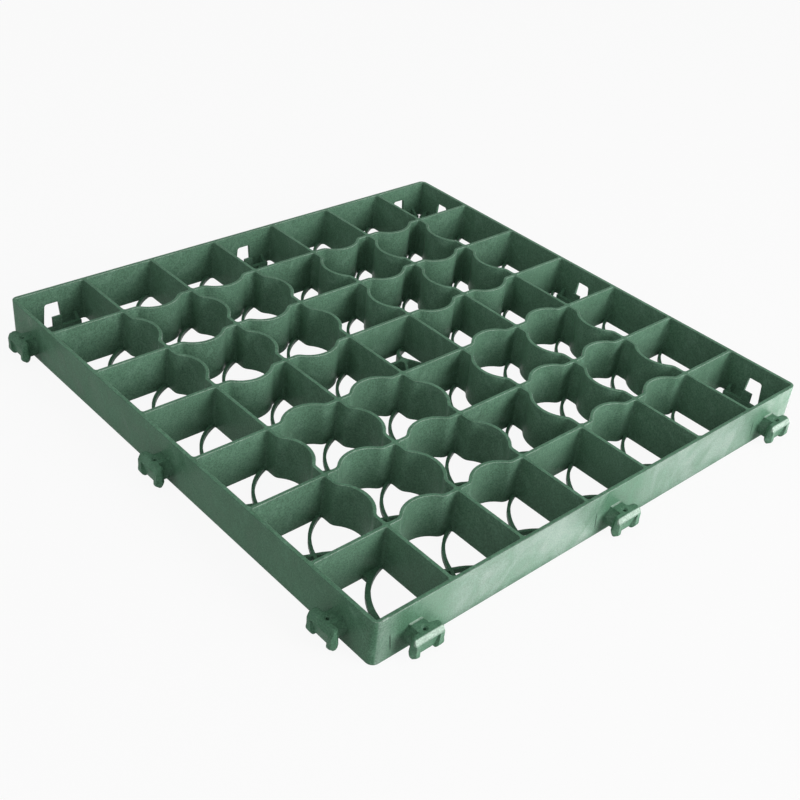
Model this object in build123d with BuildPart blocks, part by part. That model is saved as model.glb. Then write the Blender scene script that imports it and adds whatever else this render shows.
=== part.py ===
from build123d import *
import math
import os

os.makedirs("parts", exist_ok=True)

# Overall sizes, in mm. The origin is the middle of the square frame, on the floor.
# +X and +Y run towards the two sides with the slots, -X and -Y towards the two with the clips.
cells = 7
grid_side = 500.0
grid_height = 40.0
pitch = grid_side / cells
half_side = grid_side / 2

# Frame and inner walls
frame_wall = 3.2
frame_corner_r = 6.2
inner_wall = 2.9
crossing_fillet = 2.4
frame_inner_fillet = 3.0

# The bulge of a wavy wall: one round hump, blended into the wall line at both ends
bulge_depth = 10.5
bulge_r = 28.0
bulge_blend_r = 7.0
bulged_segments = (1, 2, 4, 5)

# Bars across the bottom of each cell, four curved arms from the corners to the middle
bar_width = 2.7
bar_height = 4.2
bar_r = 55.2

# A corner cell has one bar only, from the inner crossing to the frame's corner
corner_bar_r = 53.8
corner_bar_width = 4.2
corner_bar_turn = 30.7

# A small web fills the narrow wedge between a corner bar and the wall that it runs into
web_start = 8.0
web_end = 20.8
web_foot = 8.0

# Hub in the middle cell, with four curved ribs that slope down to the cell's corners
hub_r = 3.8
hub_height = 21.0
hub_reach = 61.6

# Clips on the two near sides, and the slots that take a neighbour's clips
joint_offset = 37.4
stem_width = 12.0
stem_top = 22.0
stem_base = 4.0
stem_flare = 23.0
head_back = 9.2
head_round = 2.6
head_lip = 4.6
head_swell = 2.4
head_top_width = 26.6
head_foot_width = 30.6
head_front_foot = 19.6
far_foot_more = 1.5
head_band = 5.0
foot_gap_top = 18.0
foot_gap_bottom = 12.4
foot_clear = 3.0
panel_recess = 1.3
panel_recess_foot = 3.2
panel_bottom = 5.2
web_drop = 9.0
pit_r = 1.4
pit_depth = 3.0
pit_dish_r = 2.5
pit_dish_depth = 0.5
slot_play = 1.1
slot_top = 25.0
slot_foot_width = 19.0
slot_corner_r = 2.5
tongue_width = 9.0
tongue_height = 15.5
tongue_thick = 2.2
head_room = 7.0
fin_offset = 21.8
fin_thick = 2.8
fin_height = 10.0
rail_width = 3.4
rail_height = 5.6
rail_overhang = 5.0

# A wall line's centre, from one crossing to the next
blend_x = math.sqrt((bulge_r + bulge_blend_r) ** 2 - (bulge_r - bulge_depth + bulge_blend_r) ** 2)
touch = bulge_r / (bulge_r + bulge_blend_r)
crown_y = bulge_depth - bulge_r
touch_x = pitch / 2 - blend_x * touch
touch_y = crown_y + (bulge_blend_r - crown_y) * touch
sweep = math.atan2(blend_x, bulge_blend_r - crown_y)
mid_x = pitch / 2 - blend_x + bulge_blend_r * math.sin(sweep / 2)
mid_y = bulge_blend_r - bulge_blend_r * math.cos(sweep / 2)

with BuildSketch() as bulged_wall:
    with BuildLine():
        Line((0, 0), (pitch / 2 - blend_x, 0))
        ThreePointArc((pitch / 2 - blend_x, 0), (mid_x, mid_y), (touch_x, touch_y))
        ThreePointArc((touch_x, touch_y), (pitch / 2, bulge_depth), (pitch - touch_x, touch_y))
        ThreePointArc((pitch - touch_x, touch_y), (pitch - mid_x, mid_y), (pitch / 2 + blend_x, 0))
        Line((pitch / 2 + blend_x, 0), (pitch, 0))
    trace(line_width=inner_wall)

with BuildSketch() as straight_wall:
    with Locations((pitch / 2, 0)):
        Rectangle(pitch, inner_wall)

# All walls in plan: the bulges of lines 1 to 3 point to +, those of lines 4 to 6 to -
with BuildSketch() as walls:
    RectangleRounded(grid_side, grid_side, frame_corner_r)
    Rectangle(grid_side - 2 * frame_wall, grid_side - 2 * frame_wall, mode=Mode.SUBTRACT)
    bulged_places = []
    straight_places = []
    for line in range(1, cells):
        at = line * pitch - half_side
        for seg in range(cells):
            low = seg * pitch - half_side
            high = low + pitch
            places = bulged_places if seg in bulged_segments else straight_places
            if line <= 3:
                places.append(Location((low, at, 0), (0, 0, 0)))
                places.append(Location((at, high, 0), (0, 0, -90)))
            else:
                places.append(Location((high, at, 0), (0, 0, 180)))
                places.append(Location((at, low, 0), (0, 0, 90)))
    with Locations(*bulged_places):
        add(bulged_wall.sketch)
    with Locations(*straight_places):
        add(straight_wall.sketch)
    inner = half_side - frame_wall
    corners = []
    ends = []
    for v in walls.vertices():
        near_x = abs(v.X - round((v.X + half_side) / pitch) * pitch + half_side)
        near_y = abs(v.Y - round((v.Y + half_side) / pitch) * pitch + half_side)
        at_edge_x = abs(abs(v.X) - inner) < 0.01
        at_edge_y = abs(abs(v.Y) - inner) < 0.01
        if at_edge_x and at_edge_y:
            ends.append(v)
        elif (near_x < inner_wall or at_edge_x) and (near_y < inner_wall or at_edge_y):
            if abs(v.X) < inner + 0.01 and abs(v.Y) < inner + 0.01:
                corners.append(v)
    fillet(corners, crossing_fillet)
    fillet(ends, frame_inner_fillet)

# One arm of the base bars, from the cell's corner to its middle, swung the same way in each cell
turn = math.asin(pitch / math.sqrt(2) / 2 / bar_r)
arc_mid = bar_r * (1 - math.cos(turn)) / math.sqrt(2)
with BuildSketch() as arm:
    with BuildLine():
        ThreePointArc(
            (pitch / 2, pitch / 2), (pitch / 4 - arc_mid, pitch / 4 + arc_mid), (0, 0)
        )
    trace(line_width=bar_width)

# The corner cell's bar for the (-X, -Y) corner: two like arcs that meet on the diagonal
corner_half = (pitch - corner_bar_turn) / math.sqrt(2)
corner_sag = corner_bar_r - math.sqrt(corner_bar_r**2 - corner_half**2)
turn_at = corner_bar_turn - half_side
arc_at = (pitch - corner_bar_turn) / 2
corner_shift = corner_sag / math.sqrt(2)
with BuildSketch() as corner_bar:
    for way in (1, -1):
        with BuildLine():
            ThreePointArc(
                (turn_at + way * 2 * arc_at, turn_at + way * 2 * arc_at),
                (turn_at + way * (arc_at - corner_shift), turn_at + way * (arc_at + corner_shift)),
                (turn_at, turn_at),
            )
        trace(line_width=corner_bar_width)
    crossing_at = pitch - half_side
    with BuildLine():
        Polyline(
            (crossing_at - web_start, crossing_at), (crossing_at - web_end, crossing_at),
            (crossing_at - web_end, crossing_at - web_foot),
            (crossing_at - web_start, crossing_at - inner_wall), close=True,
        )
    make_face()

with BuildSketch() as bars:
    arm_places = []
    for i in range(cells):
        for j in range(cells):
            in_middle = i == cells // 2 and j == cells // 2
            in_corner = i in (0, cells - 1) and j in (0, cells - 1)
            if not in_middle and not in_corner:
                middle = ((i + 0.5) * pitch - half_side, (j + 0.5) * pitch - half_side, 0)
                for quarter in range(4):
                    arm_places.append(Location(middle, (0, 0, 90 * quarter)))
    with Locations(*arm_places):
        add(arm.sketch)
    with PolarLocations(0, 4):
        add(corner_bar.sketch)
    RectangleRounded(grid_side, grid_side, frame_corner_r, mode=Mode.INTERSECT)

# A clip: tapered stem, and a T-shaped head with two feet. Origin on the frame's outer face.
with BuildPart() as clip:
    with BuildSketch(Plane.XZ.offset(-frame_wall / 2)):
        with BuildLine():
            Polyline(
                (-stem_width / 2, stem_top), (-stem_flare / 2, stem_top - 7),
                (-stem_flare / 2 + 3, stem_top - 14), (-stem_width / 2, stem_base),
                (stem_width / 2, stem_base), (stem_flare / 2 - 3, stem_top - 14),
                (stem_flare / 2, stem_top - 7), (stem_width / 2, stem_top), close=True,
            )
        make_face()
    with BuildSketch(Plane.XZ.offset(head_back * 0.8)):
        with BuildLine():
            Polyline(
                (-stem_width / 2, stem_top), (-stem_width / 2 - 0.3, stem_top - 7),
                (-stem_width / 2 - 0.2, stem_top - 14), (-stem_width / 2, stem_base),
                (stem_width / 2, stem_base), (stem_width / 2 + 0.2, stem_top - 14),
                (stem_width / 2 + 0.3, stem_top - 7), (stem_width / 2, stem_top), close=True,
            )
        make_face()
    loft(ruled=True)
    with BuildSketch(Plane.XZ):
        with Locations((0, (stem_top + stem_base) / 2)):
            Rectangle(stem_width, stem_top - stem_base)
    extrude(amount=head_back + head_round)

head_front = head_back + head_lip
foot_front = head_front + head_swell
with BuildPart() as head:
    # Four outlines from the back to the front: rounded back corners, full width, narrow feet
    for depth, top_half, side_half, foot_half, low in (
        (head_back, head_top_width / 2 - 1.9, head_foot_width / 2 - 2.1, 9.3, foot_clear + 0.8),
        (head_back + head_round, head_top_width / 2, head_foot_width / 2, 9.7, foot_clear),
        (foot_front - 3, head_top_width / 2, head_foot_width / 2 - 0.7, 9.9, foot_clear),
        (foot_front, head_top_width / 2, head_top_width / 2 - 0.6, head_front_foot / 2, panel_bottom),
    ):
        waist = foot_clear + 5.5 if depth < foot_front else foot_clear + 8.5
        knee = (side_half + foot_half) / 2
        with BuildSketch(Plane.XZ.offset(depth)):
            with BuildLine():
                Polyline(
                    (-top_half + 1, stem_top), (-top_half, stem_top - 1), (-side_half, waist),
                    (-side_half * 0.6 - knee * 0.4, low + 2.6), (-knee - 0.6, low + 0.8),
                    (-foot_half, low), (-foot_gap_bottom / 2 - 1.5, low),
                    (-foot_gap_bottom / 2, panel_bottom), (foot_gap_bottom / 2, panel_bottom),
                    (foot_gap_bottom / 2 + 1.5, low), (foot_half + far_foot_more, low),
                    (knee + 0.6 + far_foot_more, low + 0.8),
                    (side_half * 0.6 + knee * 0.4 + far_foot_more, low + 2.6), (side_half + 0.3, waist),
                    (top_half, stem_top - 1), (top_half - 1, stem_top), close=True,
                )
            make_face()
    loft(ruled=True)
    # Side view: sloping band at the top, round foot
    with BuildSketch(Plane.YZ):
        with BuildLine():
            Polyline(
                (-head_back, stem_top - 1), (-head_back - 0.7, stem_top), (-head_front, stem_top),
                (-foot_front, stem_top - head_band), (-foot_front, foot_clear + 3.6),
                (-foot_front + 0.7, foot_clear + 1.7), (-foot_front + 1.9, foot_clear + 0.5),
                (-foot_front + 3.4, foot_clear), (-head_back - 2, foot_clear),
                (-head_back - 0.5, foot_clear + 1.2), (-head_back, foot_clear + 3), close=True,
            )
        make_face()
    extrude(amount=head_foot_width, both=True, mode=Mode.INTERSECT)
    # A round-ended web thickens one end's back
    with BuildSketch(Plane.XY.offset(stem_top - web_drop)):
        with BuildLine():
            Polyline(
                (stem_width / 2 - 2, -head_back + 3), (stem_width / 2 - 0.2, -head_back + 3),
                (stem_width / 2 + 1.2, -head_back + 1.9), (head_top_width / 2 - 2.6, -head_back + 1.4),
                (head_top_width / 2 - 0.9, -head_back + 0.6), (head_top_width / 2 - 0.2, -head_back - 1),
                (head_top_width / 2 - 0.2, -head_back - 3), (stem_width / 2 - 2, -head_back - 3),
                close=True,
            )
        make_face()
    extrude(amount=web_drop)

# The hollow in the head's front: deeper and narrower towards the feet
with BuildPart() as hollow:
    for depth, top_half, low_half in (
        (foot_front + 1, foot_gap_top / 2 + 0.3, head_front_foot / 2 - 0.6),
        (foot_front - panel_recess_foot - 0.4, foot_gap_top / 2 - 0.4, foot_gap_bottom / 2),
    ):
        with BuildSketch(Plane.XZ.offset(depth)):
            with BuildLine():
                Polyline(
                    (-top_half, stem_top - head_band), (top_half, stem_top - head_band),
                    (low_half, panel_bottom), (low_half, -1), (-low_half, -1),
                    (-low_half, panel_bottom), close=True,
                )
            make_face()
    loft(ruled=True)
    with BuildSketch(Plane.YZ):
        with BuildLine():
            Polyline(
                (-foot_front - 2, stem_top), (-foot_front + panel_recess, stem_top),
                (-foot_front + panel_recess, stem_top - head_band),
                (-foot_front + panel_recess_foot, panel_bottom),
                (-foot_front + panel_recess_foot, -2), (-foot_front - 2, -2), close=True,
            )
        make_face()
    extrude(amount=head_foot_width, both=True, mode=Mode.INTERSECT)

# The whole clip, with a small dished pit in its top
with BuildPart() as joint_clip:
    add(clip.part)
    add(head.part)
    add(hollow.part, mode=Mode.SUBTRACT)
    with Locations((0, 0.2 - head_back, stem_top)):
        Cylinder(pit_r, 2 * pit_depth, mode=Mode.SUBTRACT)
        Cylinder(pit_dish_r, 2 * pit_dish_depth, mode=Mode.SUBTRACT)

# The slot through the frame, and the rail, tongue and fin behind it. Outer face at y = 0.
slot_width = stem_width + 2 * slot_play
with BuildPart() as slot:
    with BuildSketch(Plane.XZ.offset(-frame_wall)) as slot_shape:
        with BuildLine():
            Polyline(
                (-slot_width / 2, slot_top), (slot_width / 2, slot_top),
                (slot_foot_width / 2, -1), (-slot_foot_width / 2, -1), close=True,
            )
        make_face()
        fillet(slot_shape.vertices().group_by(Axis.Y)[-1], slot_corner_r)
    extrude(amount=2 * frame_wall)

tongue_face = frame_wall + head_room
rail_end = fin_offset + fin_thick / 2
with BuildPart() as catch:
    with Locations((0, -tongue_face - tongue_thick / 2, tongue_height / 2)):
        Box(tongue_width, tongue_thick, tongue_height)
    rail_start = -tongue_width / 2 - rail_overhang
    with Locations(((rail_end + rail_start) / 2, -tongue_face - rail_width / 2, rail_height / 2)):
        Box(rail_end - rail_start, rail_width, rail_height)
    with BuildSketch(Plane.YZ.offset(fin_offset - fin_thick / 2)):
        with BuildLine():
            Polyline(
                (-frame_wall / 2, 0), (-frame_wall / 2, fin_height), (-frame_wall - 1.5, fin_height),
                (-tongue_face - 1, bar_height), (-tongue_face - 1, 0), close=True,
            )
        make_face()
    extrude(amount=fin_thick)

# The middle cell's hub: four arms as in the other cells, but tall at the middle
with BuildPart() as hub:
    with BuildSketch():
        with PolarLocations(0, 4):
            add(arm.sketch)
        Circle(hub_r)
    extrude(amount=hub_height)
    Cone(
        hub_reach, hub_r, hub_height, align=(Align.CENTER, Align.CENTER, Align.MIN),
        mode=Mode.INTERSECT,
    )

# Where the three clips of a side sit, measured along it: one in the middle, two near the corners
joints = (joint_offset - half_side, 0.0, half_side - joint_offset)

with BuildPart() as gravel_grid:
    add(walls.sketch)
    extrude(amount=grid_height)
    add(bars.sketch)
    extrude(amount=bar_height)
    # The middle cell's hub and its sloping ribs
    add(hub.part)
    # Slots first, then what stands behind them
    y_slots = [Location((at, half_side, 0)) for at in joints]
    x_slots = [Location((half_side, at, 0), (0, 0, -90)) for at in joints]
    with Locations(*y_slots, *x_slots):
        add(slot.part, mode=Mode.SUBTRACT)
    with Locations(*y_slots):
        add(catch.part)
    with Locations(*x_slots):
        add(catch.part.mirror(Plane.YZ))
    # Clips on the two other sides, those of the X side mirrored
    y_clips = [Location((at, -half_side, 0)) for at in joints]
    x_clips = [Location((-half_side, at, 0), (0, 0, -90)) for at in joints]
    with Locations(*y_clips):
        add(joint_clip.part)
    with Locations(*x_clips):
        add(joint_clip.part.mirror(Plane.YZ))

gravel_grid.part.label = "gravel_grid"
export_step(gravel_grid.part, "parts/gravel_grid.step")
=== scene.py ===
import math
from types import SimpleNamespace

import bpy
from mathutils import Matrix, Vector


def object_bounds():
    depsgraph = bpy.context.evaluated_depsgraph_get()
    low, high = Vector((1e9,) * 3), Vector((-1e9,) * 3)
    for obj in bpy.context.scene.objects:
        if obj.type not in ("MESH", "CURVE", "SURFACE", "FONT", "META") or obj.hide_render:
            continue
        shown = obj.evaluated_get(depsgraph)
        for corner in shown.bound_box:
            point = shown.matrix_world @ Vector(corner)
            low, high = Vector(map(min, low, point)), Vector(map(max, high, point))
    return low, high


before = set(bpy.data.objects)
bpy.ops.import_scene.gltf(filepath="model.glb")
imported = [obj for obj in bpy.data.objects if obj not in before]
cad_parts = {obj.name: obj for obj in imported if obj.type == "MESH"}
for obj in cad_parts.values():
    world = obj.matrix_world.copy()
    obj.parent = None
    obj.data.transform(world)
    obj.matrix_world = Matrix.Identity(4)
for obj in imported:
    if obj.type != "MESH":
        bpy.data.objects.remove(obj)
cad_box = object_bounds()
scene = bpy.context.scene
scene.view_settings.view_transform = "Standard"

# Places on the plate, in metres. Its right side, as the picture shows it, is the one at low Y.
HALF_SIDE = cad_box[1][0]
RIGHT_FACE = -HALF_SIDE
CLIP_FRONT = cad_box[0][1]
CLIP_OFFSET = 0.0374
CLIP_STEP = HALF_SIDE - CLIP_OFFSET
GROUND = cad_box[0][2]
TOP = cad_box[1][2]

# Camera, from the grid's crossings in the photograph: its angles in radians, its place in metres,
# and the focal length, the picture's centre and the photograph's width in pixels
YAW = 0.7582
PITCH = 0.6015
ROLL = -0.1242
EYE = (-0.64435, -0.64098, 0.59653)
FOCAL = 1190.39
CENTRE = (423.06, 406.58)
PHOTO = 800.0
SENSOR = 36.0
NEAREST = 0.01

# Moulded green plastic
GREEN_DEEP = (0.076, 0.172, 0.106)
GREEN = (0.091, 0.204, 0.127)
GREEN_PALE = (0.150, 0.285, 0.198)
EDGE_RADIUS = 0.0010
FLOW_TURN = (-0.6, 0.6, 0.0)
FLOW_STRETCH = (1.0, 1.0, 3.0)

# Painted highlights on the right side's clips, on their heads and on the fillets of their stems, and
# along top edges that face that side
PAINTED_HIGHLIGHT = (0.400, 0.520, 0.435)
HEAD_BAND_DEPTH = 0.0025
HEAD_BAND_HEIGHTS = (0.0176, 0.0300)
FILLET_HEIGHTS = (0.0213, 0.0225)
FILLET_HALF = 0.0058
CORNER_STRETCH = (-HALF_SIDE + 0.0060, -HALF_SIDE + 0.0115)
CORNER_DEPTH = 0.0007
RIM_DEPTH = 0.0018
RIM_SLOPE = (0.0, -0.7071, 0.7071)

# Painted pale light: a painted reflection on the right side, in stretches whose middle lies this far past
# a clip, and a painted veil of light on the inner walls
PAINTED_PALE_LIGHT = (0.300, 0.385, 0.335)
REFLECTION_MIDDLE = 0.1125
REFLECTION_HALF = 0.078
VEIL_EDGE = HALF_SIDE - 0.0025
VEIL_STRENGTH = 0.09

# Dark line in the right side's face. Drawn down to the ground it would start this far before a clip,
# and it leans away from the clip going up.
LINE = (0.022, 0.055, 0.033)
LINE_OFFSET = 0.0206
LINE_LEAN = 0.12
LINE_HALF = 0.0006
LINE_HEIGHTS = (0.0085, 0.0225)
LINE_STRENGTH = 0.9

# Floor, surroundings and lamps
WHITE = (1.0, 1.0, 1.0)
FLOOR_GREY = (0.62, 0.62, 0.62)
FLOOR_GLOW = 0.92
FLOOR_HALF = 6.0
FLOOR_DROP = 0.0002
SKY = 0.46
LAMP_DISTANCE = 2.4
LAMP_SIZE = 1.3

# Cards off the right side: start and end along it, near and far edge from the middle, brightness
CARDS = (
    (-0.180, -0.018, 0.253, 0.60, 5.2),
    (0.030, 0.195, 0.253, 0.60, 2.6),
    (0.243, 0.900, 0.253, 0.60, 6.0),
    (-0.240, 0.300, 0.272, 0.55, 3.0),
    (-0.150, 1.000, 0.42, 0.85, 40.0),
)

# Numbers of a Mix node's sockets for two colours and their blend
FIRST_COLOUR = 6
SECOND_COLOUR = 7
BLENDED = 2


def add_camera():
    forward = Vector((math.cos(PITCH) * math.cos(YAW), math.cos(PITCH) * math.sin(YAW), -math.sin(PITCH)))
    level = Vector((math.sin(YAW), -math.cos(YAW), 0.0))
    down = forward.cross(level)
    right = math.cos(ROLL) * level + math.sin(ROLL) * down
    up = math.sin(ROLL) * level - math.cos(ROLL) * down

    lens = bpy.data.cameras.new("camera")
    lens.sensor_fit = "HORIZONTAL"
    lens.sensor_width = SENSOR
    lens.lens = FOCAL * SENSOR / PHOTO
    lens.shift_x = (PHOTO / 2 - CENTRE[0]) / PHOTO
    lens.shift_y = (CENTRE[1] - PHOTO / 2) / PHOTO
    lens.clip_start = NEAREST

    camera = bpy.data.objects.new("camera", lens)
    turn = Matrix((right, up, -forward)).transposed().to_4x4()
    camera.matrix_world = Matrix.Translation(EYE) @ turn
    scene.collection.objects.link(camera)
    return camera


# Helpers for node trees. A value is a number, a vector, a colour or another node's output.
def material(name):
    made = bpy.data.materials.new(name)
    made.use_nodes = True
    made.node_tree.nodes.clear()
    return made, made.node_tree


def feed(tree, value, socket):
    if isinstance(value, bpy.types.NodeSocket):
        tree.links.new(value, socket)
    elif socket.type == "RGBA":
        socket.default_value = (*value, 1.0)
    else:
        socket.default_value = value


def node(tree, kind, values=None, **settings):
    made = tree.nodes.new(kind)
    for key, setting in settings.items():
        setattr(made, key, setting)
    for key, value in (values or {}).items():
        feed(tree, value, made.inputs[key])
    return made


def noise(tree, place, scale, detail=2.0, roughness=0.5, distortion=0.0):
    values = {
        "Vector": place,
        "Scale": scale,
        "Detail": detail,
        "Roughness": roughness,
        "Distortion": distortion,
    }
    return node(tree, "ShaderNodeTexNoise", values).outputs["Fac"]


# Puts values together, two at a time
def combine(tree, operation, first, *others):
    for other in others:
        first = node(tree, "ShaderNodeMath", {0: first, 1: other}, operation=operation).outputs["Value"]
    return first


def times(tree, *values):
    return combine(tree, "MULTIPLY", *values)


def dot(tree, first, second):
    values = {0: first, 1: second}
    return node(tree, "ShaderNodeVectorMath", values, operation="DOT_PRODUCT").outputs["Value"]


def blend(tree, factor, first, second):
    values = {"Factor": factor, FIRST_COLOUR: first, SECOND_COLOUR: second}
    return node(tree, "ShaderNodeMix", values, data_type="RGBA").outputs[BLENDED]


def bump(tree, height, normal, distance, strength):
    values = {"Height": height, "Normal": normal, "Distance": distance, "Strength": strength}
    return node(tree, "ShaderNodeBump", values).outputs["Normal"]


def mix_shaders(tree, factor, first, second):
    return node(tree, "ShaderNodeMixShader", {"Fac": factor, 1: first, 2: second}).outputs["Shader"]


# Carries a value from one range to another, and keeps it in there
def span(tree, value, source, target=(0.0, 1.0)):
    values = {
        "Value": value,
        "From Min": source[0],
        "From Max": source[1],
        "To Min": target[0],
        "To Max": target[1],
    }
    return node(tree, "ShaderNodeMapRange", values, clamp=True).outputs["Result"]


def above(tree, value, limit, soft):
    return span(tree, value, (limit - soft, limit + soft))


def below(tree, value, limit, soft):
    return span(tree, value, (limit - soft, limit + soft), (1.0, 0.0))


def between(tree, value, low, high, soft):
    return times(tree, above(tree, value, low, soft), below(tree, value, high, soft))


# How far a place along the right side is from the nearest clip
def from_clip(tree, along):
    values = {0: along, 1: CLIP_STEP / 2, 2: -CLIP_STEP / 2}
    return node(tree, "ShaderNodeMath", values, operation="WRAP").outputs["Value"]


# From a little in front of the right side's outer face to a little behind it
def on_right_face(tree, surface, front, back, soft):
    return between(tree, surface.across, RIGHT_FACE - front, RIGHT_FACE + back, soft)


# What the plastic's layers are made from: places, normals, noises, and edge, which is 1 on sharp edges
def plastic_surface(tree):
    place = node(tree, "ShaderNodeTexCoord").outputs["Object"]
    axes = node(tree, "ShaderNodeSeparateXYZ", {"Vector": place}).outputs
    stretch = {"Vector": place, "Rotation": FLOW_TURN, "Scale": FLOW_STRETCH}
    stretched = node(tree, "ShaderNodeMapping", stretch, vector_type="TEXTURE").outputs["Vector"]
    rounded = node(tree, "ShaderNodeBevel", {"Radius": EDGE_RADIUS}, samples=4).outputs["Normal"]
    flat = node(tree, "ShaderNodeNewGeometry").outputs["True Normal"]
    return SimpleNamespace(
        place=place,
        along=axes["X"],
        across=axes["Y"],
        height=axes["Z"],
        stretched=stretched,
        rounded=rounded,
        flat=flat,
        edge=span(tree, dot(tree, rounded, flat), (0.985, 0.80)),
        flow=noise(tree, stretched, scale=75.0, detail=4.0, roughness=0.62, distortion=1.2),
        speckle=noise(tree, place, scale=520.0, detail=3.0, roughness=0.6),
    )


# Green that drifts slowly, with paler flow marks and paler edges; the paler edges are wear and a painted
# highlight
def green(tree, surface):
    drift = noise(tree, surface.place, scale=14.0, detail=3.0, roughness=0.55, distortion=0.6)
    colour = blend(tree, span(tree, drift, (0.35, 0.65)), GREEN_DEEP, GREEN)
    colour = blend(tree, span(tree, surface.flow, (0.48, 0.75), (0.0, 0.65)), colour, GREEN_PALE)
    # Paler edges: wear and a painted highlight
    worn_and_highlit = times(tree, surface.edge, span(tree, surface.speckle, (0.35, 0.7), (0.10, 0.55)))
    return blend(tree, worn_and_highlit, colour, GREEN_PALE)


# The sloping band of each clip's head, where a highlight is painted
def head_bands(tree, surface):
    return times(
        tree,
        below(tree, surface.across, CLIP_FRONT + HEAD_BAND_DEPTH, soft=0.0005),
        between(tree, surface.height, *HEAD_BAND_HEIGHTS, soft=0.0009),
    )


# The fillet between the frame and the top of each clip's stem, where a highlight is painted
def stem_fillets(tree, surface):
    return times(
        tree,
        on_right_face(tree, surface, front=0.0014, back=0.0010, soft=0.0003),
        between(tree, surface.height, *FILLET_HEIGHTS, soft=0.0003),
        between(tree, from_clip(tree, surface.along), -FILLET_HALF, FILLET_HALF, soft=0.0004),
    )


# A short stretch of the right side's top edge, beside the near corner, where a highlight is painted
def corner_edge(tree, surface):
    return times(
        tree,
        between(tree, surface.along, *CORNER_STRETCH, soft=0.0006),
        above(tree, surface.height, TOP - CORNER_DEPTH, soft=0.0003),
        on_right_face(tree, surface, front=0.0100, back=0.0010, soft=0.0003),
    )


# Top edges that face the right side, here and there, where a highlight is painted
def top_rims(tree, surface):
    patches = noise(tree, surface.place, scale=30.0)
    return times(
        tree,
        span(tree, dot(tree, surface.rounded, RIM_SLOPE), (0.73, 0.85)),
        span(tree, patches, (0.40, 0.52), (0.5, 1.0)),
        above(tree, surface.height, TOP - RIM_DEPTH, soft=0.0004),
    )


# All painted highlights, a little broken up by specks
def painted_highlights(tree, surface):
    marks = [mark(tree, surface) for mark in (head_bands, stem_fillets, corner_edge, top_rims)]
    return times(
        tree,
        combine(tree, "MAXIMUM", *marks),
        span(tree, surface.speckle, (0.3, 0.7), (0.60, 1.0)),
    )


# Soft clouds of painted reflection on the right side's face, in the stretches between clips, left out
# beside each clip as a painted shadow of the clip
def painted_side_reflection(tree, surface):
    clouds = noise(tree, surface.stretched, scale=34.0, detail=5.0, roughness=0.62, distortion=1.2)
    from_middle = from_clip(tree, combine(tree, "SUBTRACT", surface.along, REFLECTION_MIDDLE))
    return times(
        tree,
        on_right_face(tree, surface, front=0.0010, back=0.0008, soft=0.0003),
        span(tree, clouds, (0.41, 0.65), (0.22, 0.62)),
        between(tree, from_middle, -REFLECTION_HALF, REFLECTION_HALF, soft=0.010),
    )


# A painted veil of pale light on the inner walls, and none on what faces up
def painted_wall_veil(tree, surface):
    facing_up = dot(tree, surface.flat, (0.0, 0.0, 1.0))
    return times(
        tree,
        between(tree, surface.along, -VEIL_EDGE, VEIL_EDGE, soft=0.0004),
        between(tree, surface.across, -VEIL_EDGE, VEIL_EDGE, soft=0.0004),
        span(tree, facing_up, (0.3, 0.8), (VEIL_STRENGTH, 0.0)),
    )


# A thin dark line beside each clip
def clip_lines(tree, surface):
    leaning = combine(tree, "ADD", surface.along, times(tree, surface.height, LINE_LEAN))
    from_line = from_clip(tree, combine(tree, "ADD", leaning, LINE_OFFSET))
    return times(
        tree,
        between(tree, from_line, -LINE_HALF, LINE_HALF, soft=0.0003),
        between(tree, surface.height, *LINE_HEIGHTS, soft=0.0025),
        on_right_face(tree, surface, front=0.0004, back=0.0010, soft=0.0002),
        LINE_STRENGTH,
    )


# Fine specks of dust, which make a colour lighter and darker
def dusted(tree, surface, colour):
    dust = noise(tree, surface.place, scale=760.0, detail=2.0, roughness=0.6)
    values = {0: colour, "Scale": span(tree, dust, (0.25, 0.75), (0.66, 1.34))}
    return node(tree, "ShaderNodeVectorMath", values, operation="SCALE").outputs["Vector"]


# Uneven gloss that follows the flow marks, with smoother edges
def plastic_roughness(tree, surface):
    flowing = span(tree, surface.flow, (0.32, 0.68), (0.24, 0.56))
    specks = span(tree, surface.speckle, (0.3, 0.7), (-0.02, 0.05))
    rough = combine(tree, "ADD", flowing, specks)
    return combine(tree, "SUBTRACT", rough, times(tree, surface.edge, 0.10))


# Shallow waves and a fine grain
def plastic_relief(tree, surface):
    swell = noise(tree, surface.place, scale=42.0, distortion=0.8)
    grain = noise(tree, surface.place, scale=2600.0)
    waves = bump(tree, swell, surface.rounded, distance=0.0012, strength=0.35)
    return bump(tree, grain, waves, distance=0.00006, strength=0.4)


def moulded_plastic():
    made, tree = material("green_plastic")
    surface = plastic_surface(tree)
    colour = green(tree, surface)
    # Painted highlights on clip heads, stem fillets, the corner edge and top rims
    colour = blend(tree, painted_highlights(tree, surface), colour, PAINTED_HIGHLIGHT)
    # Painted reflection on the right side's face, with painted clip shadows between its stretches
    colour = blend(tree, painted_side_reflection(tree, surface), colour, PAINTED_PALE_LIGHT)
    # Painted veil of pale light on the inner walls
    colour = blend(tree, painted_wall_veil(tree, surface), colour, PAINTED_PALE_LIGHT)
    colour = blend(tree, clip_lines(tree, surface), colour, LINE)
    values = {
        "Base Color": dusted(tree, surface, colour),
        "Roughness": plastic_roughness(tree, surface),
        "Normal": plastic_relief(tree, surface),
        "IOR": 1.5,
        "Specular IOR Level": 0.06,
        "Sheen Weight": 0.015,
        "Sheen Roughness": 0.45,
    }
    shader = node(tree, "ShaderNodeBsdfPrincipled", values)
    node(tree, "ShaderNodeOutputMaterial", {"Surface": shader.outputs["BSDF"]})
    return made


# 1 for what the camera sees, by itself or in gloss or glass, and 0 for what lights the plate
def seen(tree):
    path = node(tree, "ShaderNodeLightPath").outputs
    rays = (path["Is Camera Ray"], path["Is Glossy Ray"], path["Is Transmission Ray"])
    return combine(tree, "MAXIMUM", *rays)


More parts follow.
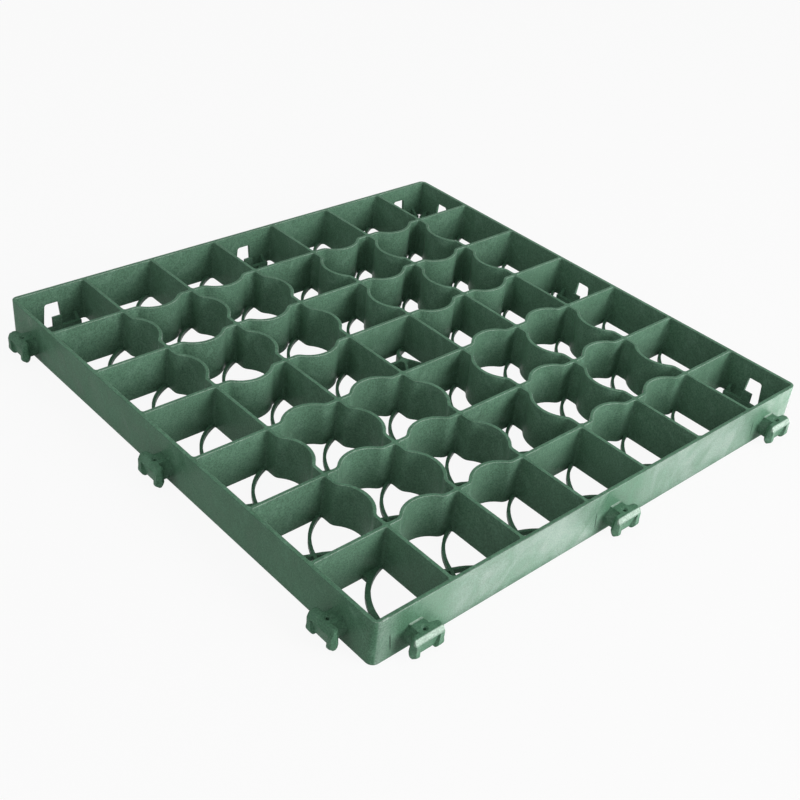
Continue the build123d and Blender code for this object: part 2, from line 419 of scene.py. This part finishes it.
# Nearly white floor that keeps a faint shadow
def floor_paint():
    made, tree = material("floor")
    matt = node(tree, "ShaderNodeBsdfDiffuse", {"Color": FLOOR_GREY}).outputs["BSDF"]
    glow = node(tree, "ShaderNodeEmission", {"Color": WHITE, "Strength": 1.0}).outputs["Emission"]
    share = times(tree, seen(tree), FLOOR_GLOW)
    node(tree, "ShaderNodeOutputMaterial", {"Surface": mix_shaders(tree, share, matt, glow)})
    return made


def add_floor():
    signs = ((-1, -1), (1, -1), (1, 1), (-1, 1))
    corners = [(x * FLOOR_HALF, y * FLOOR_HALF, 0.0) for x, y in signs]
    sheet = bpy.data.meshes.new("floor")
    sheet.from_pydata(corners, [], [(0, 1, 2, 3)])
    sheet.materials.append(floor_paint())
    made = bpy.data.objects.new("floor", sheet)
    made.location.z = GROUND - FLOOR_DROP
    scene.collection.objects.link(made)
    return made


def white_surroundings():
    made = bpy.data.worlds.new("surroundings")
    made.use_nodes = True
    tree = made.node_tree
    tree.nodes.clear()
    sky = node(tree, "ShaderNodeBackground", {"Color": WHITE, "Strength": SKY}).outputs["Background"]
    white = node(tree, "ShaderNodeBackground", {"Color": WHITE, "Strength": 1.0}).outputs["Background"]
    node(tree, "ShaderNodeOutputWorld", {"Surface": mix_shaders(tree, seen(tree), sky, white)})
    return made


# A round, soft lamp. Its level is how bright it makes a white surface that faces it.
def add_lamp(name, azimuth, elevation, level):
    light = bpy.data.lights.new(name, "AREA")
    light.shape = "DISK"
    light.size = LAMP_SIZE
    light.energy = math.pi * math.pi * LAMP_DISTANCE * LAMP_DISTANCE * level
    turn, rise = math.radians(azimuth), math.radians(elevation)
    towards = Vector((math.cos(rise) * math.cos(turn), math.cos(rise) * math.sin(turn), math.sin(rise)))
    holder = bpy.data.objects.new(name, light)
    holder.location = towards * LAMP_DISTANCE
    holder.rotation_mode = "QUATERNION"
    holder.rotation_quaternion = towards.to_track_quat("Z", "Y")
    scene.collection.objects.link(holder)


# A bright card that lies on the floor, faces up and shows in gloss alone
def add_card(name, start, end, near, far, brightness):
    light = bpy.data.lights.new(name, "AREA")
    light.shape = "RECTANGLE"
    light.size = end - start
    light.size_y = far - near
    light.energy = math.pi * light.size * light.size_y * brightness
    holder = bpy.data.objects.new(name, light)
    holder.location = ((start + end) / 2, -(near + far) / 2, GROUND)
    holder.rotation_euler = (math.pi, 0.0, 0.0)
    holder.visible_camera = False
    holder.visible_diffuse = False
    scene.collection.objects.link(holder)


scene.camera = add_camera()

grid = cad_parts["gravel_grid"]
grid.data.materials.clear()
grid.data.materials.append(moulded_plastic())

floor = add_floor()
scene.world = white_surroundings()

# A large key lamp low on the right, a weaker one above it, and a weak fill from the left
add_lamp("key", azimuth=-76.0, elevation=17.0, level=0.60)
add_lamp("high", azimuth=-60.0, elevation=32.0, level=0.28)
add_lamp("fill", azimuth=180.0, elevation=30.0, level=0.09)

for number, card in enumerate(CARDS):
    add_card("card_%d" % number, *card)
